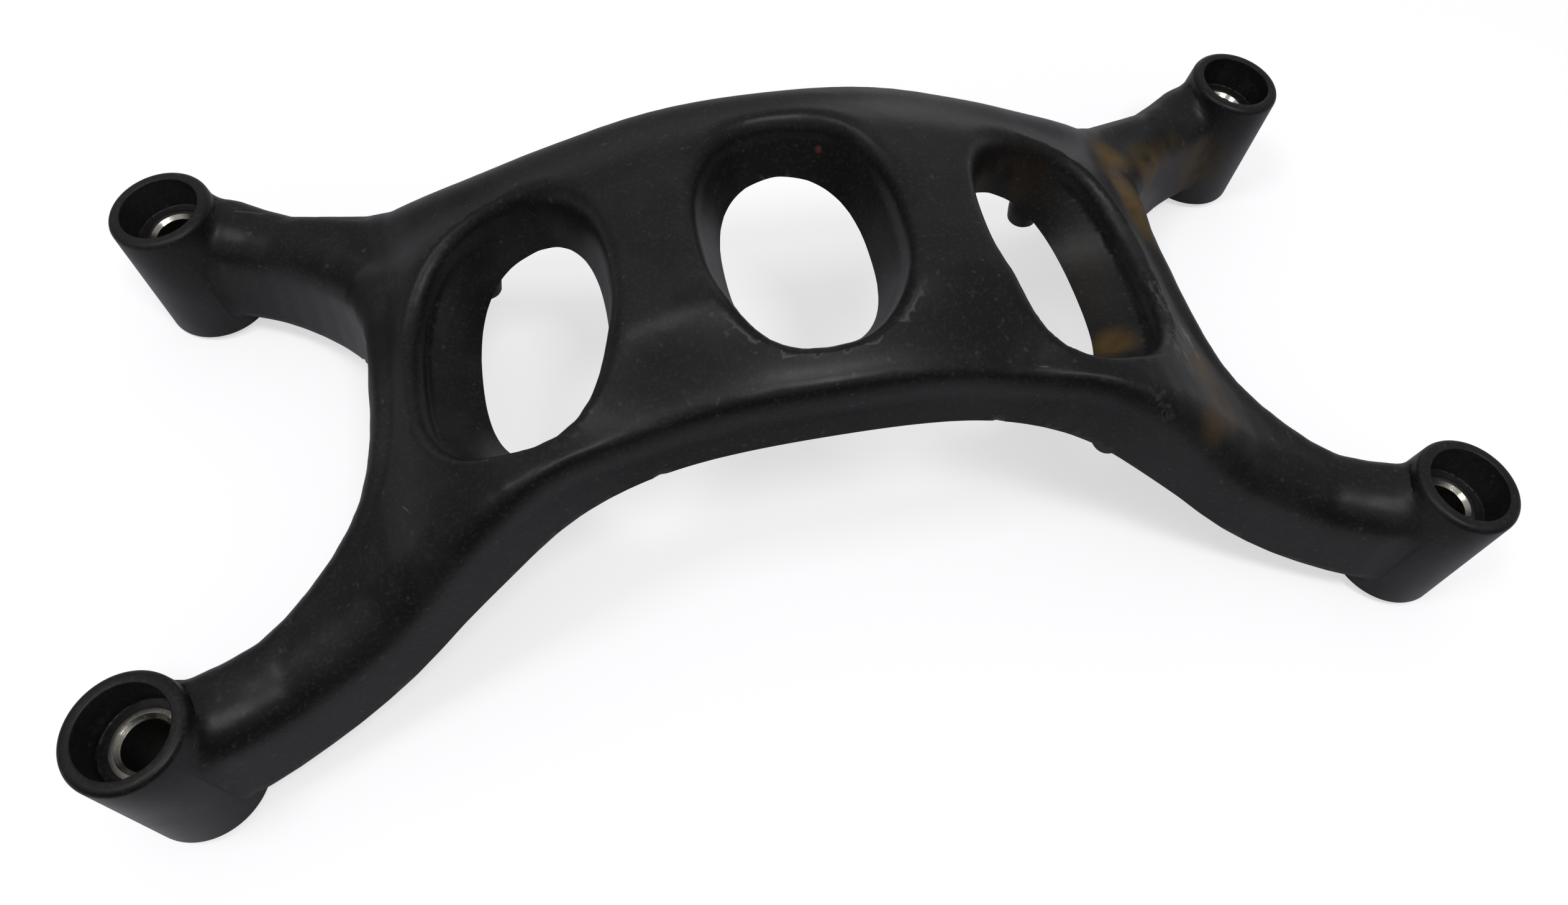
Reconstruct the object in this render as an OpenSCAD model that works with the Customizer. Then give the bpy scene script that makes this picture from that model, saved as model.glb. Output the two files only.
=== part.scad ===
// Moulded fender bracket for a motorbike. An arched frame has three flared
// openings and four legs, and each leg ends in a round boss whose steel
// sleeve takes one bolt. Millimetres, Z up. The origin lies midway between
// the four bolts, on the plane that the bosses stand on.

/* [Bolt pattern] */
// Sideways distance from the middle to each bolt, at its seat
bolt_x = 114.5; // [106:0.5:124]
// Front to back distance from the middle to each bolt
bolt_y = 53.6; // [50:0.2:58]
// Outward lean of the bosses from upright, in degrees
boss_lean = 5; // [2:0.5:7]

/* [Bosses] */
// Length of a boss from its seat to its mouth
boss_len = 29; // [27:0.5:33]
// Radius of a boss at its mouth
boss_mouth_r = 10; // [9.4:0.1:11]
// Radius of a boss at its seat
boss_seat_r = 11.3; // [10.8:0.1:12.2]
// Rounding of the rim round each mouth
rim_round = 1.2; // [0.6:0.1:1.6]
// Radius of the counterbore for the bolt head
head_r = 7.6; // [7.2:0.1:8]
// Depth of the counterbore
head_depth = 7.5; // [5:0.5:9]

/* [Steel sleeves] */
// Bore radius of a sleeve
sleeve_bore_r = 4.3; // [4.1:0.1:4.6]
// Outer radius of a sleeve
sleeve_r = 6; // [5.6:0.1:6.8]
// Chamfer round the top of a sleeve's bore
sleeve_chamfer = 0.7; // [0.3:0.1:1]

/* [Arch] */
// Height of the crown of the arch
arch_top = 66; // [60:1:72]
// Height of the arch's lower edge in the middle
arch_under = 44.5; // [40:0.5:48]
// Distance from the middle to the front edge at the crown
front_half = 31; // [30.5:0.2:33]
// Distance from the middle to the rear edge at the crown
rear_half = 36; // [35:0.5:39]
// Distance from the middle to the waist between the legs of one side
waist_half = 78.6; // [77:0.2:81]
// Fall of the top towards the front edge at the crown
front_crown = 8.8; // [5:0.2:10]
// Fall of the top towards the rear edge at the crown
rear_crown = 2; // [0:0.5:4]
// Depth of the hollow under the webs
web_hollow = 10; // [6:0.5:11]

/* [Legs] */
// Height of a leg's top where it meets its boss
leg_top = 23.5; // [21:0.5:25]
// Rise of a leg's top towards its boss's mouth
saddle_rise = 3.5; // [0:0.5:4]
// Height of a leg's underside where it meets its boss
leg_under = 5.5; // [3:0.5:7]
// Half the width of a leg where it enters its boss
leg_half = 9; // [8:0.1:9.2]

/* [Edges] */
// Inset of the rounded top edge along the front rail
front_round = 2; // [1.5:0.5:3]
// Inset of the rounded top edge along the rear rail
rear_round = 8; // [6:0.5:8.5]
// Inset of the rounded top edge along the waist
waist_round = 4.5; // [3:0.5:6]
// Inset of the rounded top edge along the rear side of the legs
leg_round = 4; // [3:0.5:4.5]
// Width of the slope along the front side of the legs
slope_round = 8.5; // [6:0.5:9]
// Height over which the front rail's top edge rounds down
front_drop = 6; // [3:0.5:7]
// Height over which the rear rail's top edge rounds down
rear_drop = 8; // [6:0.5:9]
// Height over which the rear side of the legs and the waist round down
leg_drop = 4.5; // [3:0.5:6]
// Height over which the front side of the legs slopes down
slope_drop = 7.5; // [5:0.5:9]
// Draft of the side faces from lower edge to upper edge
side_draft = 1.2; // [0.6:0.1:1.4]
// Chamfer along the lower edges
lower_chamfer = 0.9; // [0.5:0.1:1.2]

/* [Openings] */
// Sideways half width of the middle opening at the underside
mid_hole_x = 13; // [11:0.5:14]
// Front to back half length of the middle opening at the underside
mid_hole_y = 19.4; // [17:0.2:20]
// Flare of the middle opening from underside to lip, sideways
mid_flare_x = 3.5; // [2:0.5:4]
// Flare of the middle opening from underside to lip, front to back
mid_flare_y = 2; // [1.5:0.1:2.6]
// Sideways place of the side openings at the underside
side_hole_at = 45.7; // [44.5:0.1:47]
// Sideways half width of a side opening at the underside
side_hole_x = 11.9; // [10:0.1:12.5]
// Front to back half length of a side opening at the underside
side_hole_y = 21.9; // [20:0.2:22.6]
// Flare of a side opening on the side of the leg roots
side_flare_out = 9; // [6:0.5:9.5]
// Flare of a side opening on the side of the middle
side_flare_in = 0.9; // [0.4:0.1:1.5]
// Width of the rounded lip round each opening
lip_w = 3; // [1.5:0.5:3]
// Height over which the lips round down into the openings
lip_drop = 4.5; // [3:0.5:5.5]

/* [Fender studs] */
// Sideways distance from the middle to the studs
stud_x = 55.5; // [52:0.5:57]
// Distance from the middle to the rear studs
stud_rear_y = 24.5; // [23:0.5:28]
// Distance from the middle to the front studs
stud_front_y = 29.5; // [29:0.5:33]
// Radius of a stud
stud_r = 3.2; // [2.8:0.1:4]
// Height of the rear studs' lower ends
stud_rear_end = 27.5; // [25:0.5:29]
// Height of the front studs' lower ends
stud_front_end = 24.5; // [22:0.5:28]

/* [Hidden] */
$fn = 64;
tiny = 0.01;

// Heights and places that follow from the sizes above
foot_round = rim_round / 2;
seat_lift = (boss_seat_r - foot_round) * sin(boss_lean);
reach = bolt_x + boss_len * sin(boss_lean);
leg_outer = bolt_y + leg_half;
leg_inner = bolt_y - leg_half;
tip_back = 3;
leg_tip = reach - tip_back;
web_x = (mid_hole_x + mid_flare_x + side_hole_at - side_hole_x - side_flare_in) / 2;

// Where the legs leave the frame and where they end inside their bosses,
// as shares of the reach, and along the waist as spline steps
root_u = 0.6;
tip_u = 0.965;
root_s = 2.3;
tip_s = 6.85;

// Where the crown's front and rear falls begin and end, from the middle
front_fall = [13, 30];
rear_fall = [18, 30];
// Shares of the reach over which the front fall and the rear fall fade out
// and the saddle rises
fall_fade = [0.24, 0.5];
rear_fade = [0.58, 0.8];
saddle_span = [0.8, 0.93];
// Shares of the reach over which the edges change from rail to leg
slope_span = [0.38, 0.66];
tight_span = [0.48, 0.74];
// How fast the hollow under the webs fades out along the reach
hollow_fade = 1.3;
// Shares of a web's length at each end over which its hollow rises, and the
// share of the way to the frame's edge over which a rail's hollow runs out
web_rise = [0.02, 0.3];
rail_rise = 0.9;

// Counts of steps along and across the frame
rail_steps = 10;
mid_steps = 6;
waist_steps = 8;
web_steps = 16;
leg_steps = 8;
leg_cross = 4;
edge_angles = [90, 72, 54, 36, 18, 0];

// Falls of the arch towards the legs: share of the reach, then share of the
// height that is left
top_fall = [[0, 1], [0.17, 0.96], [0.34, 0.807], [0.48, 0.61], [0.565, 0.462],
            [0.665, 0.239], [0.77, 0.114], [0.89, 0.02], [1, 0]];
under_fall = [[0, 1], [0.17, 0.955], [0.31, 0.846], [0.43, 0.7], [0.55, 0.445],
              [0.64, 0.24], [0.76, 0.07], [0.89, 0.013], [1, 0]];
// Spread of the outer edges towards the bosses
front_spread = [[0, 0], [0.25, 0], [0.37, 0.08], [0.48, 0.253], [0.55, 0.36],
                [0.65, 0.535], [0.77, 0.728], [0.89, 0.918], [1, 1]];
rear_spread = [[0, 0], [0.265, 0.03], [0.37, 0.08], [0.48, 0.17], [0.59, 0.295],
               [0.66, 0.42], [0.77, 0.613], [0.89, 0.9], [1, 1]];
// Sweep of the waist from the middle to the boss: sideways share, then
// front to back share
waist_sweep = [[0, 0], [0, 0.2], [0.053, 0.41], [0.161, 0.565], [0.35, 0.73],
               [0.567, 0.863], [0.79, 0.95], [1, 1]];

// Smooth curve through a table of x and y pairs, level at its start
function span_of(t, x, i = 0) = i >= len(t) - 2 || x < t[i + 1].x ? i : span_of(t, x, i + 1);
function chord(t, i, j) = (t[j].y - t[i].y) / (t[j].x - t[i].x);
function steep(t, i) =
    i == 0 ? 0 : i == len(t) - 1 ? chord(t, i - 1, i) : chord(t, i - 1, i + 1);
function blend(a, b, ma, mb, h, s) =
    a * (2 * s ^ 3 - 3 * s ^ 2 + 1) + ma * h * (s ^ 3 - 2 * s ^ 2 + s)
    + b * (3 * s ^ 2 - 2 * s ^ 3) + mb * h * (s ^ 3 - s ^ 2);
function curve(t, x) =
    let (i = span_of(t, x), h = t[i + 1].x - t[i].x)
    blend(t[i].y, t[i + 1].y, steep(t, i), steep(t, i + 1), h, (x - t[i].x) / h);
function ramp(x, a, b) = let (s = min(1, max(0, (x - a) / (b - a)))) s * s * (3 - 2 * s);
function mix(a, b, t) = a + (b - a) * t;
function unit(v) = v / norm(v);

// Heights of the top and of the underside at a sideways place
function crown_fall(x, y) =
    let (front = y < 0, fade = front ? fall_fade : rear_fade)
    (1 - ramp(abs(x) / reach, fade[0], fade[1]))
    * (front ? front_crown * ramp(-y, front_fall[0], front_fall[1])
             : rear_crown * ramp(y, rear_fall[0], rear_fall[1]));
function top_z(x, y) =
    leg_top + (arch_top - leg_top) * curve(top_fall, abs(x) / reach) - crown_fall(x, y)
    + saddle_rise * ramp(abs(x) / reach, saddle_span[0], saddle_span[1]);
function under_z(x) = leg_under + (arch_under - leg_under) * curve(under_fall, abs(x) / reach);
function hollow(x) = web_hollow * max(0, 1 - hollow_fade * abs(x) / reach);

// Outlines of the left half at the lower edge, seen from above
function front_at(u) =
    [-reach * u, -mix(front_half, leg_outer, curve(front_spread, abs(u)))];
function rear_at(u) =
    [-reach * u, mix(rear_half, leg_outer, curve(rear_spread, abs(u)))];
function sweep_pair(i) =
    i < 0 ? [waist_sweep[-i].x, -waist_sweep[-i].y] : waist_sweep[min(i, len(waist_sweep) - 1)];
function waist_share(s) =
    let (i = min(floor(s), len(waist_sweep) - 2), a = sweep_pair(i), b = sweep_pair(i + 1),
         before = sweep_pair(i - 1), after = sweep_pair(i + 2))
    blend(a, b, (b - before) / 2, (after - a) / 2, 1, s - i);
function waist_at(s) =
    let (w = waist_share(abs(s)))
    [-mix(waist_half, leg_tip, w.x), (s < 0 ? -1 : 1) * leg_inner * w.y];

// A station holds a point of the outline, its inward direction, and the
// inset and height of the rounded top edge there
function inward(a, b) = let (d = unit(b - a)) [d.y, -d.x];
function front_station(u) =
    [front_at(u), inward(front_at(u - tiny), front_at(u + tiny)),
     mix(front_round, slope_round, ramp(u, slope_span[0], slope_span[1])),
     mix(front_drop, slope_drop, ramp(u, slope_span[0], slope_span[1]))];
function rear_station(u) =
    [rear_at(u), -inward(rear_at(u - tiny), rear_at(u + tiny)),
     mix(rear_round, leg_round, ramp(u, tight_span[0], tight_span[1])),
     mix(rear_drop, leg_drop, ramp(u, tight_span[0], tight_span[1]))];
function waist_station(s) =
    let (turn = ramp(abs(s), 1, root_s))
    [waist_at(s), inward(waist_at(s - tiny), waist_at(s + tiny)),
     mix(waist_round, s < 0 ? leg_round : slope_round, turn),
     mix(leg_drop, s < 0 ? leg_drop : slope_drop, turn)];

// Rows of points down the side at a station: rounded top edge, drafted side
// face and lower chamfer
function side_rows(st) =
    let (p = st[0], n = st[1], w = st[2], crest = p + n * (side_draft + w),
         zt = top_z(crest.x, crest.y), zb = under_z(p.x))
    concat(
        [for (a = edge_angles)
            let (q = p + n * (side_draft + w * (1 - cos(a))))
            [q.x, q.y, zt - st[3] * (1 - sin(a))]],
        [[p.x, p.y, zb + lower_chamfer],
         [p.x + n.x * lower_chamfer, p.y + n.y * lower_chamfer, zb]]);

function flat(v) = [v.x, v.y];
function on_top(p) = [p.x, p.y, top_z(p.x, p.y)];
function on_under(p) = [p.x, p.y, under_z(p.x)];

// Stations along the three stretches of the left half's outline
front_u = concat(
    [for (i = [0:mid_steps - 1]) web_x / reach * i / mid_steps],
    [for (i = [0:rail_steps - 1]) mix(web_x / reach, root_u, i / rail_steps)],
    [for (i = [0:leg_steps]) mix(root_u, tip_u, i / leg_steps)]);
waist_s = concat(
    [for (i = [0:leg_steps - 1]) -mix(tip_s, root_s, i / leg_steps)],
    [for (i = [0:waist_steps - 1]) mix(-root_s, root_s, i / waist_steps)],
    [for (i = [0:leg_steps]) mix(root_s, tip_s, i / leg_steps)]);
front_rows = [for (u = front_u) side_rows(front_station(u))];
rear_rows = [for (u = front_u) side_rows(rear_station(u))];
waist_rows = [for (s = waist_s) side_rows(waist_station(s))];
foot = len(edge_angles) + 1;
root_i = mid_steps + rail_steps;
mid_end = leg_steps + waist_steps;

// Line of points across a leg, on its top or on its underside
function across(a, b, under) =
    [for (i = [0:leg_cross])
        let (p = mix(flat(a), flat(b), i / leg_cross))
        i == 0 ? a : i == leg_cross ? b : under ? on_under(p) : on_top(p)];
function front_cross(k, under) =
    let (r = under ? foot : 0)
    across(front_rows[root_i + k][r], waist_rows[leg_steps - k][r], under);
function rear_cross(k, under) =
    let (r = under ? foot : 0)
    across(waist_rows[mid_end + k][r], rear_rows[root_i + k][r], under);
// Line of points along the web between two openings, from rear to front
function web_line(under) =
    let (r = under ? foot : 0, a = rear_rows[mid_steps][r], b = front_rows[mid_steps][r])
    [for (i = [0:web_steps])
        let (t = i / web_steps, p = mix(flat(a), flat(b), t),
             rise = hollow(p.x) * ramp(min(t, 1 - t), web_rise[0], web_rise[1]))
        i == 0 ? a : i == web_steps ? b
        : under ? [p.x, p.y, under_z(p.x) + rise] : on_top(p)];

function open_end(v) = [for (i = [0:len(v) - 2]) v[i]];

// Closed line round the left opening's share of the frame
function side_bounds(under) =
    let (r = under ? foot : 0)
    concat(
        [for (i = [mid_steps:root_i - 1]) front_rows[i][r]],
        open_end(front_cross(0, under)),
        [for (i = [leg_steps:mid_end - 1]) waist_rows[i][r]],
        open_end(rear_cross(0, under)),
        [for (i = [root_i:-1:mid_steps + 1]) rear_rows[i][r]],
        web_line(under));
// Line round the left half of the middle opening's share
function mid_bounds(under) =
    let (r = under ? foot : 0, w = web_line(under))
    concat(
        [for (i = [0:mid_steps - 1]) front_rows[i][r]],
        [for (i = [web_steps:-1:1]) w[i]],
        [for (i = [mid_steps:-1:0]) rear_rows[i][r]]);

// Rounded opening outline: centre, half sizes, the way to look and the power
// of its corners, where 1 is an ellipse and less is squarer. The side
// openings are rounder at their front corners.
lip_power = 0.82;
outer_power = 0.88;
inner_power = 1.05;
function signed_power(v, e) = (v < 0 ? -1 : 1) * pow(abs(v), e);
function oval(c, h, way, e = lip_power) =
    let (d = [(way.x - c.x) / h.x, (way.y - c.y) / h.y], a = atan2(d.y, d.x))
    [c.x + h.x * signed_power(cos(a), e), c.y + h.y * signed_power(sin(a), e)];

// Columns of points from the underside of an opening up its wall, over its
// lip and out to the bounds
function hole_column(low, lip, crest, edge) =
    let (zl = under_z(low.x) + hollow(low.x), zt = top_z(crest.x, crest.y))
    concat(
        [[low.x, low.y, zl]],
        [for (t = [0.35, 0.7, 1])
            let (q = mix(low, lip, t))
            [q.x, q.y, mix(zl, zt - lip_drop, t)]],
        [for (a = [30, 60, 90])
            let (q = mix(lip, crest, 1 - cos(a)))
            [q.x, q.y, zt - lip_drop * (1 - sin(a))]],
        [for (t = [0.2, 0.4, 0.6, 0.8]) on_top(mix(crest, flat(edge), t))],
        [edge]);
function under_column(low, edge) =
    [for (t = [0, 0.3, 0.6, 1])
        let (q = mix(low, flat(edge), t))
        t == 1 ? edge
        : [q.x, q.y, under_z(q.x) + mix(hollow(q.x), edge.z - under_z(edge.x), ramp(t, 0, rail_rise))]];

// Front to back places of the openings at the underside and at the lip, and
// the side openings' flare that way
mid_low_y = -0.4;
mid_lip_y = 0.2;
side_low_y = -1.1;
side_lip_y = -2.4;
side_flare_y = 2.4;
// Widths of the lips, sideways and front to back, as shares of lip_w
mid_lip_share = [1, 0.95];
side_lip_share = [1.2, 0.6];
mid_c = [0, mid_low_y];
mid_lip_c = [0, mid_lip_y];
mid_low = [mid_hole_x, mid_hole_y];
mid_lip = mid_low + [mid_flare_x, mid_flare_y];
mid_crest = mid_lip + lip_w * mid_lip_share;
side_c = [-side_hole_at, side_low_y];
side_low = [side_hole_x, side_hole_y];
side_lip_c = [-side_hole_at + (side_flare_in - side_flare_out) / 2, side_lip_y];
side_lip = side_low + [(side_flare_in + side_flare_out) / 2, side_flare_y];
side_crest = side_lip + lip_w * side_lip_share;

function side_low_at(p) =
    let (e = p.y > side_c.y ? lip_power : p.x < side_c.x ? outer_power : inner_power)
    oval(side_c, side_low, p, e);
function side_lip_at(p, half) =
    let (inner_front = p.y < side_lip_c.y && p.x > side_lip_c.x)
    oval(side_lip_c, half, p, inner_front ? inner_power : lip_power);
function mid_low_at(p) = oval(mid_c, mid_low, p);
function side_top_grid() =
    [for (e = side_bounds(false))
        let (p = flat(e))
        hole_column(side_low_at(p), side_lip_at(p, side_lip), side_lip_at(p, side_crest), e)];
function mid_top_grid() =
    [for (e = mid_bounds(false))
        let (p = flat(e))
        hole_column(mid_low_at(p), oval(mid_lip_c, mid_lip, p), oval(mid_lip_c, mid_crest, p), e)];
function side_under_grid() =
    let (tops = side_bounds(false), unders = side_bounds(true))
    [for (i = [0:len(tops) - 1]) under_column(side_low_at(flat(tops[i])), unders[i])];
function mid_under_grid() =
    let (tops = mid_bounds(false), unders = mid_bounds(true))
    [for (i = [0:len(tops) - 1]) under_column(mid_low_at(flat(tops[i])), unders[i])];

// Triangles of a grid, as lists of three points, split across the shorter
// diagonal and turned over where flip is set
function quad(a, b, c, d, flip) =
    let (pair = norm(a - c) <= norm(b - d) ? [[a, b, c], [a, c, d]] : [[a, b, d], [b, c, d]])
    flip ? [for (t = pair) [t[0], t[2], t[1]]] : pair;
function grid_faces(g, flip) =
    [for (i = [0:len(g) - 2], j = [0:len(g[i]) - 2])
        each quad(g[i][j], g[i + 1][j], g[i + 1][j + 1], g[i][j + 1], flip)];
function sum(v, i = 0) = i == len(v) - 1 ? v[i] : v[i] + sum(v, i + 1);
function cap_faces(top, far, bottom, near) =
    let (rim = concat(open_end(top), open_end(far), [for (i = [len(bottom) - 1:-1:1]) bottom[i]],
                      [for (i = [len(near) - 1:-1:1]) near[i]]),
         n = len(rim), m = sum(rim) / n)
    [for (i = [0:n - 1]) [m, rim[(i + 1) % n], rim[i]]];

// Triangles of the left half of the frame
function left_faces() =
    let (steps = [0:leg_steps])
    concat(
        grid_faces(side_top_grid(), true),
        grid_faces(mid_top_grid(), true),
        grid_faces(side_under_grid(), false),
        grid_faces(mid_under_grid(), false),
        grid_faces(front_rows, true),
        grid_faces(waist_rows, true),
        grid_faces(rear_rows, false),
        grid_faces([for (k = steps) front_cross(k, false)], false),
        grid_faces([for (k = steps) front_cross(k, true)], true),
        grid_faces([for (k = steps) rear_cross(k, false)], false),
        grid_faces([for (k = steps) rear_cross(k, true)], true),
        cap_faces(front_cross(leg_steps, false), waist_rows[0], front_cross(leg_steps, true),
                  front_rows[root_i + leg_steps]),
        cap_faces(rear_cross(leg_steps, false), rear_rows[root_i + leg_steps],
                  rear_cross(leg_steps, true), waist_rows[mid_end + leg_steps]));
function mirrored(f) = [for (t = f) [for (i = [2:-1:0]) [-t[i].x, t[i].y, t[i].z]]];

// The arched frame with its legs, as one closed shell
module frame() {
    half = left_faces();
    all = concat(half, mirrored(half));
    polyhedron([for (t = all) each t], [for (i = [0:len(all) - 1]) [3 * i, 3 * i + 1, 3 * i + 2]]);
}

// Puts a thing in the leaning place of one boss: sx is -1 for left and 1 for
// right, sy is -1 for front and 1 for rear
module at_boss(sx, sy) {
    translate([sx * bolt_x, sy * bolt_y, seat_lift])
        rotate([0, sx * boss_lean, 0])
            children();
}

module boss() {
    rim_z = boss_len - rim_round;
    rotate_extrude() {
        polygon([[0, 0], [boss_seat_r - foot_round, 0], [boss_seat_r, foot_round],
                 [boss_mouth_r, rim_z], [boss_mouth_r - rim_round, boss_len], [0, boss_len]]);
        translate([boss_mouth_r - rim_round, rim_z])
            circle(rim_round);
    }
}

module boss_hollow() {
    translate([0, 0, boss_len - head_depth])
        cylinder(r = head_r, h = head_depth + 1);
    translate([0, 0, -1])
        cylinder(r = sleeve_r, h = boss_len);
}

module stud(x, y, end_z) {
    translate([x, y, end_z])
        cylinder(r = stud_r, h = under_z(x) + hollow(x) - end_z);
}

module body() {
    color([0.13, 0.13, 0.14])
        difference() {
            union() {
                frame();
                for (sx = [-1, 1]) {
                    for (sy = [-1, 1])
                        at_boss(sx, sy) boss();
                    stud(sx * stud_x, stud_rear_y, stud_rear_end);
                    stud(sx * stud_x, -stud_front_y, stud_front_end);
                }
            }
            for (sx = [-1, 1], sy = [-1, 1])
                at_boss(sx, sy) boss_hollow();
        }
}

module sleeve(sx, sy) {
    top = boss_len - head_depth;
    color([0.72, 0.73, 0.75])
        at_boss(sx, sy)
            difference() {
                cylinder(r = sleeve_r, h = top);
                translate([0, 0, -1])
                    cylinder(r = sleeve_bore_r, h = top + 2);
                translate([0, 0, top - sleeve_chamfer])
                    cylinder(r1 = sleeve_bore_r, r2 = sleeve_bore_r + sleeve_chamfer + tiny,
                             h = sleeve_chamfer + tiny);
            }
}
module sleeve_lf() { sleeve(-1, -1); }
module sleeve_rf() { sleeve(1, -1); }
module sleeve_lr() { sleeve(-1, 1); }
module sleeve_rr() { sleeve(1, 1); }

body();
sleeve_lf();
sleeve_rf();
sleeve_lr();
sleeve_rr();
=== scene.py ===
# Fender bracket: a moulded arch with four bosses and steel sleeves, on a pale table
import bpy, bmesh, math
import numpy as np
from mathutils import Matrix, Vector, kdtree


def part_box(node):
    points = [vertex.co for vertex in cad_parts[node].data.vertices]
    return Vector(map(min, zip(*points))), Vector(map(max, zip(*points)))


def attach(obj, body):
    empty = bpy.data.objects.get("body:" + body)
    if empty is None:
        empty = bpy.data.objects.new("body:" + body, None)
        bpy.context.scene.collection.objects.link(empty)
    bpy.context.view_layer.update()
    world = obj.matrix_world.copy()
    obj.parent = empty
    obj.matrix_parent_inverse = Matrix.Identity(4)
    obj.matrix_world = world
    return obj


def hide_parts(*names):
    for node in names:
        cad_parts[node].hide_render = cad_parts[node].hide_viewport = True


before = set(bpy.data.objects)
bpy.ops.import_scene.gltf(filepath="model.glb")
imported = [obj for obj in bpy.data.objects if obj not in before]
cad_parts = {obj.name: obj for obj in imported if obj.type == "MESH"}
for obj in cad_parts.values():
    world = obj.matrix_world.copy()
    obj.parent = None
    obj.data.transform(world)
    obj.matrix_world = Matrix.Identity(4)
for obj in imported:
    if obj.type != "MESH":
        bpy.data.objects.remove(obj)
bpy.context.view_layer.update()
scene = bpy.context.scene
print("frame loaded:", sorted(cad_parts))

# The photograph's camera: where it stands, its right and its looking direction, in metres and mm
cameraSet = {
    "place": (-0.03766, -0.12283, 0.20684),
    "right": (0.97574009, -0.21226451, 0.05361944),
    "look": (0.15228148, 0.48205959, -0.86280293),
    "lens": 26.104,
    "sensor": 36.0,
    "clip": (0.01, 20.0),
}


def makeCamera(s):
    right = Vector(s["right"]).normalized()
    back = -Vector(s["look"]).normalized()
    up = back.cross(right).normalized()
    data = bpy.data.cameras.new("camera")
    data.lens = s["lens"]
    data.sensor_width = s["sensor"]
    data.clip_start, data.clip_end = s["clip"]
    cam = bpy.data.objects.new("camera", data)
    turn = Matrix((right, up, back)).transposed().to_4x4()
    cam.matrix_world = Matrix.Translation(s["place"]) @ turn
    scene.collection.objects.link(cam)
    scene.camera = cam
    print("camera set")


# Shader maths: wraps one socket, so that plain expressions add the Math nodes
class Val:
    def __init__(self, mat, socket):
        self.mat = mat
        self.socket = socket

    def math(self, op, other, swap=False, clamp=False):
        first, second = (other, self) if swap else (self, other)
        return self.mat.node("ShaderNodeMath", {"operation": op, "use_clamp": clamp},
                             {0: first, 1: second})

    def __add__(self, o): return self.math("ADD", o)
    def __sub__(self, o): return self.math("SUBTRACT", o)
    def __rsub__(self, o): return self.math("SUBTRACT", o, swap=True)
    def __mul__(self, o): return self.math("MULTIPLY", o)
    def __pow__(self, o): return self.math("POWER", o)
    def atLeast(self, o): return self.math("MAXIMUM", o)
    def clamped(self): return self.math("ADD", 0.0, clamp=True)


# Node tree of one material, or of the world
class Finish:
    def __init__(self, owner):
        self.owner = owner
        owner.use_nodes = True
        self.tree = owner.node_tree
        self.tree.nodes.clear()

    def put(self, node, key, value):
        if isinstance(value, Val):
            self.tree.links.new(value.socket, node.inputs[key])
        else:
            node.inputs[key].default_value = value

    def node(self, kind, settings=None, values=None, out=0):
        n = self.tree.nodes.new(kind)
        for k, v in (settings or {}).items():
            setattr(n, k, v)
        for k, v in (values or {}).items():
            self.put(n, k, v)
        return None if out is None else Val(self, n.outputs[out])

    def place(self):
        return self.node("ShaderNodeTexCoord", out="Object")

    def parts(self, value):
        n = self.tree.nodes.new("ShaderNodeSeparateXYZ")
        self.put(n, 0, value)
        return [Val(self, n.outputs[i]) for i in range(3)]

    def rays(self, *kinds):
        n = self.tree.nodes.new("ShaderNodeLightPath")
        return [Val(self, n.outputs["Is %s Ray" % kind]) for kind in kinds]

    def vector(self, op, a, b, out=0):
        return self.node("ShaderNodeVectorMath", {"operation": op}, {0: a, 1: b}, out)

    def length(self, a):
        return self.vector("LENGTH", a, (0, 0, 0), out=1)

    # Patch round a place: 1 in its middle, 0 outside it, with an uneven edge
    def patch(self, centre, sizes, wobble, outside=1.15, inside=0.3):
        rel = self.vector("DIVIDE", self.vector("SUBTRACT", self.place(), centre), sizes)
        return self.step(self.length(rel) + wobble, outside, inside)

    # Thin line from a to b: 1 along its core, 0 past its width
    def streak(self, a, b, width, wobble, core=0.25):
        a, b = Vector(a), Vector(b)
        rel = self.vector("SUBTRACT", self.place(), tuple(a))
        along = self.vector("DOT_PRODUCT", rel, tuple((b - a) / (b - a).length_squared), out=1)
        at = self.node("ShaderNodeVectorMath", {"operation": "SCALE"},
                       {0: tuple(b - a), 3: along.clamped()})
        off = self.length(self.vector("SUBTRACT", rel, at))
        return self.step(off + wobble * width, width, width * core)

    def noise(self, scale, detail=3.0, rough=0.55, at=None, squeeze=None):
        at = at or self.place()
        if squeeze:
            at = self.node("ShaderNodeMapping", None, {"Vector": at, "Scale": squeeze})
        return self.node("ShaderNodeTexNoise", None,
                         {"Vector": at, "Scale": scale, "Detail": detail, "Roughness": rough})

    # Rises softly from 0 at low to 1 at high, and falls where high is the smaller
    def step(self, value, low, high):
        n = self.tree.nodes.new("ShaderNodeMapRange")
        n.interpolation_type = "SMOOTHSTEP"
        self.put(n, "Value", value)
        self.put(n, "From Min", low)
        self.put(n, "From Max", high)
        return Val(self, n.outputs[0])

    def mix(self, share, a, b):
        n = self.tree.nodes.new("ShaderNodeMix")
        n.data_type = "RGBA"
        self.put(n, 0, share)
        for key, c in ((6, a), (7, b)):
            self.put(n, key, c if isinstance(c, Val) else (*c, 1.0))
        return Val(self, n.outputs[2])

    def bump(self, height, strength, distance):
        return self.node("ShaderNodeBump", None,
                         {"Height": height, "Strength": strength, "Distance": distance})

    def shade(self, **inputs):
        n = self.tree.nodes.new("ShaderNodeBsdfPrincipled")
        for k, v in inputs.items():
            key = k.replace("_", " ")
            if k == "Base_Color" and not isinstance(v, Val):
                v = (*v, 1.0)
            self.put(n, key, v)
        out = self.tree.nodes.new("ShaderNodeOutputMaterial")
        self.tree.links.new(n.outputs[0], out.inputs[0])
        return self.owner


def newFinish(name):
    return Finish(bpy.data.materials.new(name))


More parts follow.
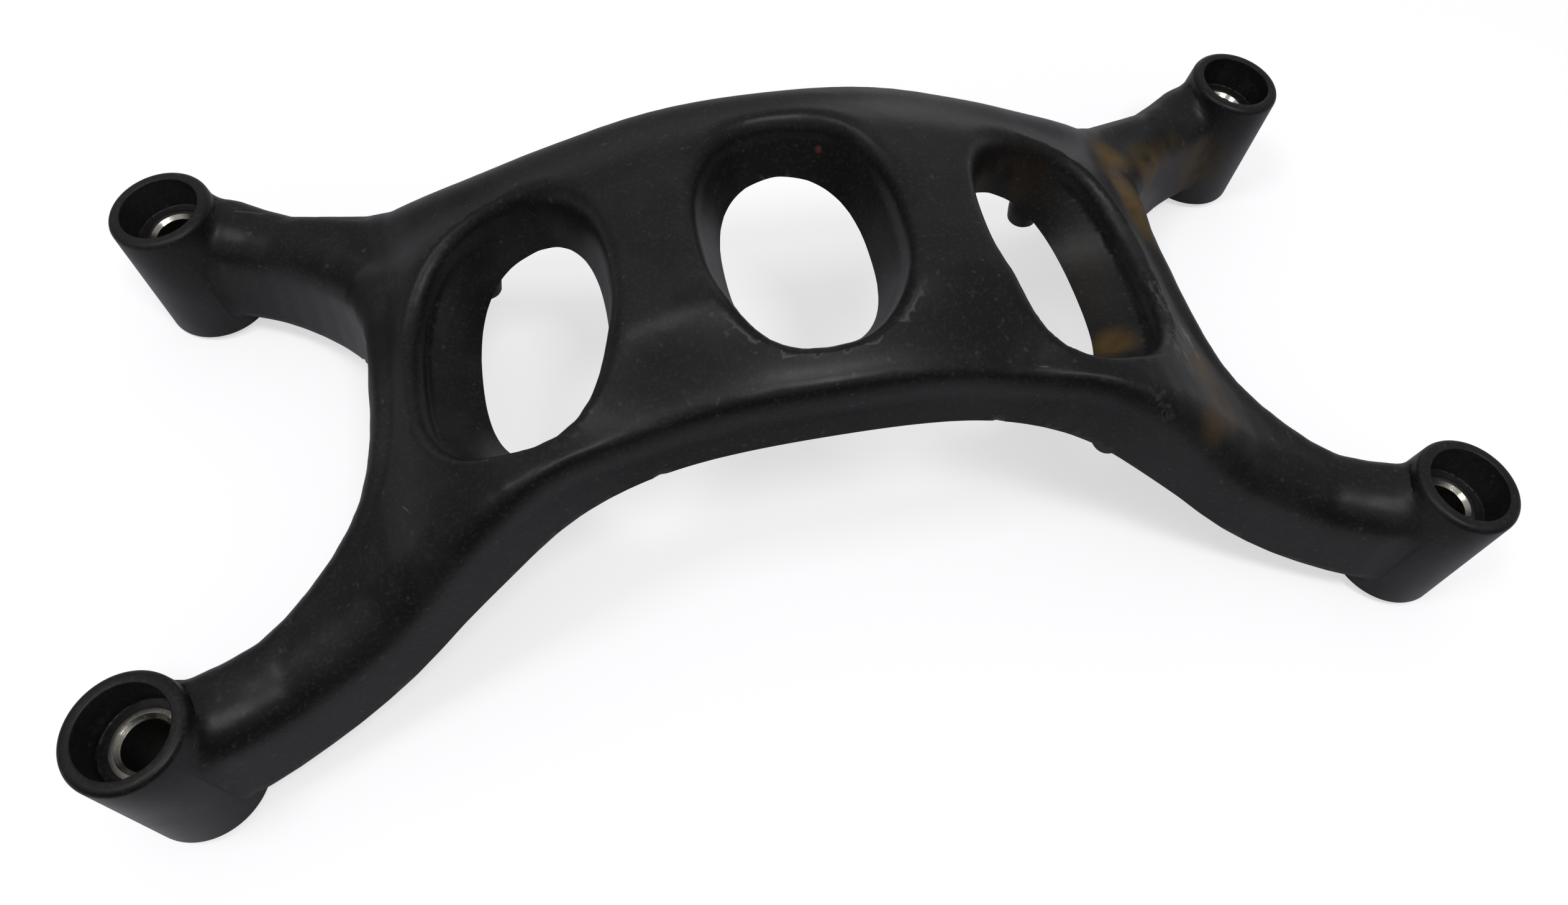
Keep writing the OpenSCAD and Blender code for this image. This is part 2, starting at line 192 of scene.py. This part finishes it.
# Stains, scuffs and cracks, patches of painted shade and a painted reddish glint are placed in
# metres on the finished part
plasticSet = {
    "colour": (0.0058, 0.0058, 0.0063),
    "worn": (0.020, 0.020, 0.021),
    "stain": (0.092, 0.056, 0.015),
    # painted reflection: the colour of a small reddish glint
    "paintedGlintColour": (0.070, 0.018, 0.018),
    "pale": (0.125, 0.125, 0.120),
    "dust": (0.060, 0.060, 0.060),
    # dark of the cracks, also the colour of the patches of painted shade
    "crackAndPaintedShade": (0.0035, 0.0032, 0.0030),
    "roughness": 0.42,
    "ior": 1.30,
    # noise scales, from broad clouds to fine grain
    "broad": 24.0,
    "cloud": 95.0,
    "specks": 640.0,
    "grain": 1500.0,
    "streaky": 420.0,
    "streakyShape": (3.0, 0.7, 1.0),
    # how uneven the marks' edges and the thin lines' edges are
    "edgeWobble": 1.5,
    "lineWobble": 1.6,
    # how much the two larger noises change the roughness and the bump's height
    "broadRough": 0.16,
    "cloudRough": 0.14,
    "grainHeight": 0.35,
    "cloudHeight": 0.65,
    # where each noise starts and ends showing, and how much of it shows
    "wornShows": (0.42, 0.68, 0.45),
    "specksShow": (0.68, 0.80, 0.35),
    "grainShows": (0.50, 0.72, 0.14),
    "stainShows": (0.25, 0.60),
    "scuffShows": (0.42, 0.62),
    # how much rougher each kind of mark is
    "stainRough": 0.14,
    "paintedShadeRough": 0.35,
    "scuffRough": 0.2,
    "scratchWidth": 0.00022,
    "scratchShare": 0.4,
    "rimWidth": 0.00075,
    "rimShare": 0.30,
    "slitWidth": 0.00036,
    "slitDepth": 6.0,
    "bump": (0.35, 0.00007),
    "stains": [
        # centre, half sizes, strength
        ((0.0765, 0.0330, 0.0335), (0.0070, 0.0060, 0.0080), 0.90),
        ((0.0745, 0.0180, 0.0365), (0.0050, 0.0160, 0.0070), 0.85),
        ((0.0890, 0.0345, 0.0265), (0.0090, 0.0060, 0.0080), 0.75),
        ((0.0985, 0.0400, 0.0250), (0.0070, 0.0050, 0.0070), 0.35),
        ((0.0590, -0.0150, 0.0345), (0.0055, 0.0060, 0.0090), 0.85),
        ((0.0605, 0.0030, 0.0350), (0.0050, 0.0180, 0.0090), 0.07),
        ((0.1090, 0.0430, 0.0150), (0.0080, 0.0040, 0.0100), 0.45),
        ((0.0480, 0.0200, 0.0440), (0.0130, 0.0060, 0.0100), 0.14),
        ((0.0715, -0.0265, 0.0390), (0.0060, 0.0080, 0.0080), 0.50),
        ((0.0735, -0.0340, 0.0365), (0.0060, 0.0060, 0.0060), 0.28),
        ((0.0680, -0.0370, 0.0400), (0.0050, 0.0060, 0.0060), 0.40),
    ],
    # a painted reflection: a small reddish glint in the middle opening, centre and half sizes
    "paintedGlintSpot": ((0.0077, 0.0196, 0.0594), (0.0006, 0.0006, 0.0008)),
    # patches of painted shade, dark where a recess at the left end stays in shade: centre, half
    # sizes, strength
    "paintedShadePatches": [
        ((-0.0737, 0.0088, 0.0373), (0.0045, 0.0085, 0.0070), 0.85),
        ((-0.0760, 0.0200, 0.0350), (0.0060, 0.0070, 0.0070), 0.45),
    ],
    "scuffs": [
        ((0.0712, -0.0195, 0.0390), (0.0026, 0.0062, 0.0050), 0.95),
        ((0.0665, -0.0245, 0.0428), (0.0030, 0.0050, 0.0050), 0.45),
        ((0.0700, -0.0080, 0.0400), (0.0030, 0.0110, 0.0060), 0.35),
    ],
    "cracks": [
        ((0.0536, -0.0340, 0.0495), (0.0552, -0.0352, 0.0481)),
        ((0.0552, -0.0352, 0.0481), (0.0563, -0.0345, 0.0486)),
        ((0.0556, -0.0358, 0.0472), (0.0574, -0.0362, 0.0464)),
        ((0.0574, -0.0362, 0.0464), (0.0582, -0.0374, 0.0447)),
        ((0.0566, -0.0368, 0.0459), (0.0570, -0.0380, 0.0442)),
    ],
    "scratches": [
        ((0.0668, -0.0180, 0.0425), (0.0702, -0.0262, 0.0403)),
        ((0.0205, -0.0130, 0.0632), (0.0290, -0.0185, 0.0596)),
        ((-0.0300, 0.0080, 0.0622), (-0.0235, 0.0160, 0.0638)),
        ((0.0600, 0.0350, 0.0452), (0.0665, 0.0372, 0.0400)),
        ((-0.0720, -0.0270, 0.0385), (-0.0660, -0.0350, 0.0420)),
        ((0.0300, -0.0272, 0.0540), (0.0372, -0.0284, 0.0520)),
        # the parting line on the left rear leg
        ((-0.1032, 0.0531, 0.0269), (-0.0973, 0.0519, 0.0262)),
        ((-0.0973, 0.0519, 0.0262), (-0.0925, 0.0502, 0.0262)),
        ((-0.0862, 0.0467, 0.0285), (-0.0805, 0.0431, 0.0308)),
        ((-0.0805, 0.0431, 0.0308), (-0.0752, 0.0406, 0.0333)),
    ],
}


def makePlastic(s):
    m = newFinish("satinBlackPlastic")
    broad = m.noise(s["broad"], 4.0)
    cloud = m.noise(s["cloud"], 5.0, 0.6)
    grain = m.noise(s["grain"], 2.0)
    specks = m.noise(s["specks"], 1.0)
    edge = (cloud - 0.5) * s["edgeWobble"]
    colour = s["colour"]
    for noise, shows, tint in ((broad * 0.6 + cloud * 0.4, "wornShows", "worn"),
                               (specks, "specksShow", "dust"), (grain, "grainShows", "dust")):
        low, high, share = s[shows]
        colour = m.mix(m.step(noise, low, high) * share, colour, s[tint])
    rough = ((broad - 0.5) * s["broadRough"] + (cloud - 0.5) * s["cloudRough"]
             + s["roughness"])
    for centre, sizes, strength in s["stains"]:
        mask = m.patch(centre, sizes, edge) * strength
        colour = m.mix(mask * m.step(cloud, *s["stainShows"]), colour, s["stain"])
        rough = rough + mask * s["stainRough"]
    # dark patches of painted shade, in the crack colour, and rougher
    for centre, sizes, strength in s["paintedShadePatches"]:
        mask = m.patch(centre, sizes, edge) * strength
        colour = m.mix(mask, colour, s["crackAndPaintedShade"])
        rough = rough + mask * s["paintedShadeRough"]
    for centre, sizes, strength in s["scuffs"]:
        streaky = m.noise(s["streaky"], squeeze=s["streakyShape"])
        mask = m.patch(centre, sizes, edge) * m.step(streaky, *s["scuffShows"]) * strength
        colour = m.mix(mask, colour, s["pale"])
        rough = rough + mask * s["scuffRough"]
    # painted reflection: a small reddish glint in the middle opening
    colour = m.mix(m.patch(*s["paintedGlintSpot"], edge), colour, s["paintedGlintColour"])
    fine = (grain - 0.5) * s["lineWobble"]
    for a, b in s["scratches"]:
        mask = m.streak(a, b, s["scratchWidth"], fine) * s["scratchShare"]
        colour = m.mix(mask, colour, s["pale"])
    cut = None
    for a, b in s["cracks"]:
        rim = m.streak(a, b, s["rimWidth"], fine)
        colour = m.mix(rim * s["rimShare"], colour, s["dust"])
        slit = m.streak(a, b, s["slitWidth"], fine)
        colour = m.mix(slit, colour, s["crackAndPaintedShade"])
        cut = slit if cut is None else cut.atLeast(slit)
    height = grain * s["grainHeight"] + cloud * s["cloudHeight"] - cut * s["slitDepth"]
    bump = m.bump(height, *s["bump"])
    return m.shade(Base_Color=colour, Roughness=rough, IOR=s["ior"], Normal=bump)


steelSet = {
    "colour": (0.26, 0.25, 0.235),
    # painted highlight: the chamfer colour, brighter to stand in for the bright crescent it catches
    "paintedChamferHighlight": (0.55, 0.53, 0.46),
    "dull": (0.10, 0.09, 0.075),
    # painted shade: the bore's colour, dark where the hole stays in shade
    "bore": (0.035, 0.032, 0.028),
    "roughness": 0.30,
    "chamferFade": 0.01,
    "boreFade": 0.03,
    # how much the spots show their colour, how much the chamfer's painted highlight and the bore's
    # painted shade show theirs, and how much rougher each part is
    "marksShare": 0.8,
    "paintedShare": 0.9,
    "marksRough": 0.2,
    "ringsRough": 0.1,
    "boreRough": 0.2,
    "chamferRough": -0.16,
    "rings": 9.0,
    "ringShape": (0.6, 30.0, 1.0),
    "spots": 420.0,
    "spotsShow": (0.50, 0.68),
    "bump": (0.3, 0.00004),
}


# The sleeves' texture coordinates run round the axis and along the profile,
# where the chamfer and then the bore follow the flat end
def makeSteel(s, chamferAt, boreAt):
    m = newFinish("turnedSteel")
    around = m.node("ShaderNodeUVMap")
    along = m.parts(around)[1]
    bore = m.step(along, boreAt, boreAt + s["boreFade"])
    chamfer = m.step(along, chamferAt, chamferAt + s["chamferFade"]) * (1 - bore)
    rings = m.noise(s["rings"], at=around, squeeze=s["ringShape"])
    marks = m.step(m.noise(s["spots"], 4.0), *s["spotsShow"])
    rough = (marks * s["marksRough"] + (rings - 0.5) * s["ringsRough"]
             + bore * s["boreRough"] + chamfer * s["chamferRough"] + s["roughness"])
    colour = m.mix(marks * s["marksShare"], s["colour"], s["dull"])
    # the chamfer painted brighter as a highlight
    colour = m.mix(chamfer * s["paintedShare"], colour, s["paintedChamferHighlight"])
    # the bore painted dark as shade
    colour = m.mix(bore * s["paintedShare"], colour, s["bore"])
    return m.shade(Base_Color=colour, Roughness=rough, Metallic=1.0,
                   Normal=m.bump(rings, *s["bump"]))


# Sizes of a boss and its sleeve, in metres, as the solid model has them
bossSet = {
    "at": (0.1145, 0.0536),
    "lean": math.radians(5.0),
    "length": 0.029,
    "seatRadius": 0.0113,
    "mouthRadius": 0.010,
    "rimRound": 0.0012,
    "headRadius": 0.0076,
    "headDepth": 0.0075,
    "innerRound": 0.0003,
    "segments": 112,
}

sleeveSet = {
    "radius": 0.0060,
    "bore": 0.0043,
    "chamfer": 0.0007,
    "edge": 0.00015,
    "segments": 96,
}


def arc(centre, radius, start, end, steps):
    return [(centre[0] + radius * math.cos(a), centre[1] + radius * math.sin(a))
            for a in np.radians(np.linspace(start, end, steps + 1))]


# Profile of a boss's wall, as pairs of radius and height, up the outside,
# over the rim and down the inside
def bossProfile(s):
    foot = s["rimRound"] / 2
    mid = s["mouthRadius"] - s["rimRound"]
    rimZ = s["length"] - s["rimRound"]
    floorZ = s["length"] - s["headDepth"]
    inner, tight = sleeveSet["radius"], s["innerRound"]
    return ([(inner, 0.0), (s["seatRadius"] - foot, 0.0), (s["seatRadius"], foot)]
            + arc((mid, rimZ), s["rimRound"], 0, 90, 6)
            + arc((s["headRadius"] + tight, s["length"] - tight), tight, 90, 180, 3)
            + arc((s["headRadius"] - tight, floorZ + tight), tight, 0, -90, 3)
            + [(inner, floorZ)])


# The same wall drawn in a little, as a closed line, where the remeshed surface is tucked away
def tuckedProfile(s):
    i, foot = bodySet["tuck"], s["rimRound"] / 2
    floorZ = s["length"] - s["headDepth"]
    inner = sleeveSet["radius"] + i
    return np.array([
        (inner, i), (s["seatRadius"] - foot - i, i), (s["seatRadius"] - i, foot + i),
        (s["mouthRadius"] - i, s["length"] - s["rimRound"]),
        (s["mouthRadius"] - s["rimRound"], s["length"] - i), (s["headRadius"] + i, s["length"] - i),
        (s["headRadius"] + i, floorZ - i), (inner, floorZ - i), (inner, i)])


# Signs of x and y at the four corners
corners = ((-1, -1), (-1, 1), (1, -1), (1, 1))


# A boss's place: its axis leans outwards and its foot rests on the table
def bossFrame(s, sx, sy):
    lift = (s["seatRadius"] - s["rimRound"] / 2) * math.sin(s["lean"])
    lean = Matrix.Rotation(sx * s["lean"], 4, "Y")
    return Matrix.Translation((sx * s["at"][0], sy * s["at"][1], lift)) @ lean


# Lengths run along a closed profile up to each of its points, in units of 10 mm
def runLengths(profile):
    lengths = [0.0]
    for (r1, h1), (r2, h2) in zip(profile, profile[1:] + profile[:1]):
        lengths.append(lengths[-1] + math.hypot(r2 - r1, h2 - h1) * 100)
    return lengths


# Turned ring from a closed profile, at a place, with coordinates round and along it
def turned(bm, profile, place, segments):
    uv = bm.loops.layers.uv.verify()
    count = len(profile)
    rows = []
    for k in range(segments):
        a = 2 * math.pi * k / segments
        rows.append([bm.verts.new(place @ Vector((r * math.cos(a), r * math.sin(a), h)))
                     for r, h in profile])
    lengths = runLengths(profile)
    for k in range(segments):
        for i in range(count):
            j, q = (i + 1) % count, (k + 1) % segments
            face = bm.faces.new((rows[k][i], rows[q][i], rows[q][j], rows[k][j]))
            face.smooth = True
            ends = ((k, i), (k + 1, i), (k + 1, i + 1), (k, i + 1))
            for loop, (u, v) in zip(face.loops, ends):
                loop[uv].uv = (u / segments, lengths[v])


flatSharp = 30


# Makes an object from a finished bmesh, with sharp edges past an angle in degrees
def newObject(name, bm, material, sharp):
    bmesh.ops.recalc_face_normals(bm, faces=bm.faces)
    mesh = bpy.data.meshes.new(name)
    bm.to_mesh(mesh)
    bm.free()
    mesh.materials.append(material)
    mesh.set_sharp_from_angle(angle=math.radians(sharp))
    obj = bpy.data.objects.new(name, mesh)
    scene.collection.objects.link(obj)
    return obj


# Settings of the dressed body, lengths in metres and angles in degrees
bodySet = {
    "depth": 8,
    "same": 1e-6,
    "thinnest": 1e-5,
    "smallestFace": 1e-8,
    "fill": 0.99,
    "evenSteps": 14,
    "filletSteps": 16,
    "filletReach": (0.0085, 0.0175),
    "filletFade": 0.004,
    "edgeAngle": 38,
    "edgeSpacing": 0.00012,
    "edgeReach": 0.00062,
    "edgeClear": 0.0128,
    "edgeAbove": 0.04,
    "edgeSteps": 5,
    "merge": 0.00016,
    "tuck": 0.00025,
    # the zone round a boss that is tucked in, and the part of it that is plain wall
    "tuckRadius": 0.0135,
    "tuckPast": 0.002,
    "wallRadius": 0.0088,
    "wallHeights": (0.002, 0.0262),
    "snapWall": (0.0002, 0.0005),
    "snapMouth": (0.0008, 0.0016),
    "sharp": 55,
}


# The points of a mesh with their neighbours, for moving them all at once
class Skin:
    outwards, backwards = 0.5, 0.53
    lineShare = 0.5
    alongEdge = 0.8
    filletShare = 0.6

    def __init__(self, mesh):
        self.co = np.zeros(len(mesh.vertices) * 3)
        mesh.vertices.foreach_get("co", self.co)
        self.co = self.co.reshape(-1, 3)
        ends = np.zeros(len(mesh.edges) * 2, dtype=np.int64)
        mesh.edges.foreach_get("vertices", ends)
        self.a, self.b = ends[0::2], ends[1::2]
        self.count = len(self.co)
        self.links = self.linkCount(self.a, self.b)
        self.quads = np.array([p.vertices[:] for p in mesh.polygons if len(p.vertices) == 4])

    def linkCount(self, a, b):
        return np.bincount(a, minlength=self.count) + np.bincount(b, minlength=self.count)

    # Sum of the neighbours' places over the links given
    def linkSum(self, a, b):
        return np.stack([np.bincount(a, c[b], self.count) + np.bincount(b, c[a], self.count)
                         for c in self.co.T], 1)

    # How far each point is from the middle of its neighbours
    def pull(self):
        return self.linkSum(self.a, self.b) / np.maximum(self.links, 1)[:, None] - self.co

    def normals(self):
        p = self.co[self.quads]
        face = np.cross(p[:, 2] - p[:, 0], p[:, 3] - p[:, 1])
        out = np.zeros_like(self.co)
        for corner in range(4):
            for i in range(3):
                out[:, i] += np.bincount(self.quads[:, corner], face[:, i], self.count)
        return out / np.maximum(np.linalg.norm(out, axis=1), 1e-12)[:, None]

    # Evens the surface out and keeps its volume
    def even(self, steps, free=1.0):
        for _ in range(steps):
            self.co += self.pull() * self.outwards * free
            self.co -= self.pull() * self.backwards * free

    # Puts the points that are near the given ones on them, and evens the line they make
    def crisp(self, points, ways, reach, steps):
        tree = kdtree.KDTree(len(points))
        for i, p in enumerate(points):
            tree.insert(p, i)
        tree.balance()
        on = np.zeros(self.count, dtype=bool)
        way = np.zeros_like(self.co)
        for i, p in enumerate(self.co):
            found, which, gap = tree.find(p)
            if gap < reach:
                on[i] = True
                self.co[i] = found
                way[i] = ways[which]
        step = self.co[self.b] - self.co[self.a]
        length = np.maximum(np.linalg.norm(step, axis=1), 1e-9)
        along = np.abs((step * way[self.a]).sum(1)) > self.alongEdge * length
        both = on[self.a] & on[self.b] & along
        a, b = self.a[both], self.b[both]
        links = self.linkCount(a, b)
        move = links > 1
        for _ in range(steps):
            mean = self.linkSum(a, b)[move] / links[move][:, None]
            self.co[move] += self.lineShare * (mean - self.co[move])
        return on

    # Fills inner corners only, where the share says so
    def fillet(self, steps, share):
        for _ in range(steps):
            n = self.normals()
            lift = np.maximum((self.pull() * n).sum(1), 0) * share * self.filletShare
            self.co += n * lift[:, None]


# For each boss: its foot and axis, and the points' heights, ways and distances from the axis
def bossPlaces(co, s):
    for sx, sy in corners:
        place = bossFrame(s, sx, sy)
        axis = np.array(place.to_3x3() @ Vector((0, 0, 1)))
        base = np.array(place.translation)
        rel = co - base
        h = rel @ axis
        side = rel - h[:, None] * axis
        yield base, axis, h, side, np.linalg.norm(side, axis=1)


# Pulls the points next to a boss onto its tucked profile, less and less further from it
def tuckIntoBosses(co, s, b):
    line = tuckedProfile(s)
    start, d = line[:-1], line[1:] - line[:-1]
    for base, axis, h, side, r in bossPlaces(co, s):
        past = b["tuckPast"]
        pick = np.where((r < b["tuckRadius"]) & (h > -past) & (h < s["length"] + past))[0]
        p = np.stack((r[pick], h[pick]), 1)
        t = ((p[:, None] - start) * d).sum(2) / (d * d).sum(1)
        q = start + np.clip(t, 0, 1)[:, :, None] * d
        gap = np.linalg.norm(p[:, None] - q, axis=2)
        best = gap.argmin(1)
        rows = np.arange(len(pick))
        low, high = b["wallHeights"]
        wall = (p[:, 0] > b["wallRadius"]) & (p[:, 1] > low) & (p[:, 1] < high)
        near = np.where(wall, b["snapWall"][0], b["snapMouth"][0])
        far = np.where(wall, b["snapWall"][1], b["snapMouth"][1])
        share = np.clip((far - gap[rows, best]) / (far - near), 0, 1)[:, None]
        p = p + (q[rows, best] - p) * share
        unit = side[pick] / np.maximum(r[pick], 1e-6)[:, None]
        co[pick] = base + p[:, 1:] * axis + unit * p[:, :1]


# Points along the solid model's sharp edges, apart from those at the bosses
def sharpPoints(bm, s):
    points, ways = [], []
    for e in bm.edges:
        faces = e.link_faces
        if len(faces) != 2 or min(f.calc_area() for f in faces) < s["smallestFace"]:
            continue
        if e.calc_face_angle() > math.radians(s["edgeAngle"]):
            a, b = e.verts[0].co, e.verts[1].co
            n = max(1, int((b - a).length / s["edgeSpacing"]))
            points += [a.lerp(b, i / n) for i in range(n + 1)]
            ways += [(b - a).normalized()] * (n + 1)
    points, ways = np.array(points), np.array(ways)
    keep = np.ones(len(points), dtype=bool)
    for _, _, h, _, r in bossPlaces(points, bossSet):
        keep &= (r > s["edgeClear"]) | (h > s["edgeAbove"])
    return points[keep], ways[keep]


# The object's mesh with its modifiers applied
def evaluated(obj):
    graph = bpy.context.evaluated_depsgraph_get()
    made = bpy.data.meshes.new_from_object(obj.evaluated_get(graph))
    obj.modifiers.clear()
    return made


def makeBody(s, material):
    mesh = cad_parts["body"].data.copy()
    bm = bmesh.new()
    bm.from_mesh(mesh)
    bmesh.ops.remove_doubles(bm, verts=bm.verts, dist=s["same"])
    edges, ways = sharpPoints(bm, s)
    bm.to_mesh(mesh)
    bm.free()
    obj = bpy.data.objects.new("mouldedBracket", mesh)
    scene.collection.objects.link(obj)
    mod = obj.modifiers.new("remesh", "REMESH")
    mod.mode = "SHARP"
    mod.octree_depth = s["depth"]
    mod.scale = s["fill"]
    mod.sharpness = 1.0
    mod.use_remove_disconnected = False
    obj.data = evaluated(obj)
    skin = Skin(obj.data)
    on = skin.crisp(edges, ways, s["edgeReach"], s["edgeSteps"])
    skin.even(s["evenSteps"], np.where(on, 0.0, 1.0)[:, None])
    near, far = s["filletReach"]
    share = np.zeros(skin.count)
    for _, _, h, _, r in bossPlaces(skin.co, bossSet):
        share = np.maximum(share, (r > near) * np.clip((far - r) / s["filletFade"], 0, 1))
    skin.fillet(s["filletSteps"], share)
    tuckIntoBosses(skin.co, bossSet, s)
    obj.data.vertices.foreach_set("co", skin.co.ravel())
    obj.data.update()
    bm = bmesh.new()
    bm.from_mesh(obj.data)
    bmesh.ops.remove_doubles(bm, verts=bm.verts, dist=s["merge"])
    bmesh.ops.dissolve_degenerate(bm, edges=bm.edges, dist=s["thinnest"])
    bm.to_mesh(obj.data)
    bm.free()
    print("sharp edges kept:", int(on.sum()), "points on", len(edges))
    print("body evened:", len(obj.data.polygons), "faces")

    bm = bmesh.new()
    for sx, sy in corners:
        turned(bm, bossProfile(bossSet), bossFrame(bossSet, sx, sy), bossSet["segments"])
    walls = newObject("bossWalls", bm, material, s["sharp"])
    join = obj.modifiers.new("join", "BOOLEAN")
    join.operation = "UNION"
    join.solver = "EXACT"
    join.object = walls
    made = evaluated(obj)
    bpy.data.objects.remove(walls)
    co = np.zeros(len(made.vertices) * 3)
    made.vertices.foreach_get("co", co)
    low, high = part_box("body")
    co = np.clip(co.reshape(-1, 3), np.array(low), np.array(high))
    made.vertices.foreach_set("co", co.ravel())
    made.polygons.foreach_set("use_smooth", [True] * len(made.polygons))
    made.materials.clear()
    made.materials.append(material)
    made.set_sharp_from_angle(angle=math.radians(s["sharp"]))
    made.update()
    obj.data = made
    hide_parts("body")
    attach(obj, "root")
    print("body made:", len(made.polygons), "faces")


# Closed profile of a sleeve, from the foot of its bore outwards, up and back down the bore
def sleeveProfile(s, top):
    r, b, e = s["radius"], s["bore"], s["edge"]
    return ([(b + e, 0.0), (r - e, 0.0), (r, e)] + arc((r - e, top - e), e, 0, 90, 3)
            + [(b + s["chamfer"] + e / 2, top), (b + s["chamfer"], top - e / 2),
               (b, top - s["chamfer"]), (b, e)])


def makeSleeves(s):
    top = bossSet["length"] - bossSet["headDepth"]
    profile = sleeveProfile(s, top)
    lengths = runLengths(profile)
    # from the profile's end, the chamfer starts at the fourth point and the bore at the second
    steel = makeSteel(steelSet, lengths[len(profile) - 4], lengths[len(profile) - 2])
    names = {"sleeve_lf": (-1, -1), "sleeve_rf": (1, -1),
             "sleeve_lr": (-1, 1), "sleeve_rr": (1, 1)}
    for name, (sx, sy) in names.items():
        bm = bmesh.new()
        turned(bm, profile, bossFrame(bossSet, sx, sy), s["segments"])
        side = "Left" if sx < 0 else "Right"
        end = "Front" if sy < 0 else "Rear"
        piece = newObject("sleeve" + side + end, bm, steel, flatSharp)
        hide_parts(name)
        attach(piece, "root")
    print("sleeves made")


# seen: how much of the table is plain white to the camera, all of it past farFrom, in metres;
# lit: its colour to the camera where light falls on it; colour: what it throws back
floorSet = {
    "colour": (0.58, 0.57, 0.62),
    "white": (1.0, 1.0, 1.0),
    "lit": (1.22, 1.21, 1.26),
    "seen": 0.60,
    "mirrored": 0.10,
    "farFrom": (0.30, 1.00),
    "size": 6.0,
}


# The camera, and in part the reflections, see the table as white, with the shadows kept
def makeFloor(s):
    m = newFinish("tableTop")
    seen, glossy, through = m.rays("Camera", "Glossy", "Transmission")
    plain = m.node("ShaderNodeBsdfDiffuse", None, {"Color": m.mix(seen, s["colour"], s["lit"])})
    white = m.node("ShaderNodeEmission", None, {"Color": (*s["white"], 1.0), "Strength": 1.0})
    x, y, _ = m.parts(m.place())
    far = m.step((x * x + y * y) ** 0.5, *s["farFrom"])
    share = (seen * (far * (1 - s["seen"]) + s["seen"])
             + glossy.atLeast(through) * s["mirrored"])
    both = m.node("ShaderNodeMixShader", None, {0: share, 1: plain, 2: white})
    m.node("ShaderNodeOutputMaterial", None, {0: both}, out=None)
    bm = bmesh.new()
    bmesh.ops.create_grid(bm, x_segments=1, y_segments=1, size=s["size"] / 2)
    table = newObject("table", bm, m.owner, flatSharp)
    print("table made")


lampSet = {
    "world": 0.52,
    "frontDim": 0.75,
    "rightDim": 0.40,
    "leftDim": 0.72,
    # where along the direction's x, y or z each dimming starts and is full
    "frontFrom": ((0.38, 0.12), (0.0, -0.6)),
    "rightFrom": (0.2, 0.9),
    "leftFrom": ((0.62, 0.30), (-0.25, -0.60)),
    "lamps": [
        # name, place, aims at, size, watts
        ("frontLamp", (0.15, -0.38, 0.97), (0, 0, 0.04), 0.22, 3.3),
        ("sideLamp", (-0.42, -0.05, 0.95), (0, 0, 0.04), 0.22, 1.9),
        ("backLamp", (0.50, 1.00, 0.12), (0, 0, 0.05), 0.40, 0.5),
    ],
    # left and right end, place in front of the part, foot and top, in metres
    "card": ((-0.30, 0.30), -0.118, (0.001, 0.085)),
    "cardColour": (0.01, 0.01, 0.01),
    "cardRough": 0.9,
}


# A plain soft room: even light, dimmer low down in front and at the sides, white to the
# camera, with a dark card standing in front of the part that only reflections meet
def makeLight(s):
    world = bpy.data.worlds.new("studio")
    scene.world = world
    m = Finish(world)
    x, y, z = m.parts(m.node("ShaderNodeTexCoord", out="Generated"))
    zFrom, yFrom = s["frontFrom"]
    front = m.step(z, *zFrom) * m.step(y, *yFrom)
    right = m.step(x, *s["rightFrom"])
    zFrom, xFrom = s["leftFrom"]
    left = m.step(z, *zFrom) * m.step(x, *xFrom)
    level = ((1 - front * s["frontDim"]) * (1 - right * s["rightDim"])
             * (1 - left * s["leftDim"]) * s["world"])
    seen, = m.rays("Camera")
    back = m.node("ShaderNodeBackground", None,
                  {"Color": (1.0, 1.0, 1.0, 1.0), "Strength": level * (1 - seen) + seen})
    m.node("ShaderNodeOutputWorld", None, {0: back}, out=None)
    for name, place, aim, size, watts in s["lamps"]:
        data = bpy.data.lights.new(name, "AREA")
        data.size = size
        data.energy = watts
        lamp = bpy.data.objects.new(name, data)
        lamp.location = place
        way = Vector(aim) - Vector(place)
        lamp.rotation_euler = way.to_track_quat("-Z", "Y").to_euler()
        scene.collection.objects.link(lamp)
    (x1, x2), y, (foot, top) = s["card"]
    bm = bmesh.new()
    bm.faces.new([bm.verts.new((x, y, z))
                  for x, z in ((x1, foot), (x2, foot), (x2, top), (x1, top))])
    dark = newFinish("darkCard").shade(Base_Color=s["cardColour"], Roughness=s["cardRough"])
    card = newObject("darkCard", bm, dark, flatSharp)
    card.visible_camera = card.visible_diffuse = card.visible_shadow = False
    scene.view_settings.view_transform = "Standard"
    print("light made")


makeCamera(cameraSet)
makeBody(bodySet, makePlastic(plasticSet))
makeSleeves(sleeveSet)
makeFloor(floorSet)
makeLight(lampSet)
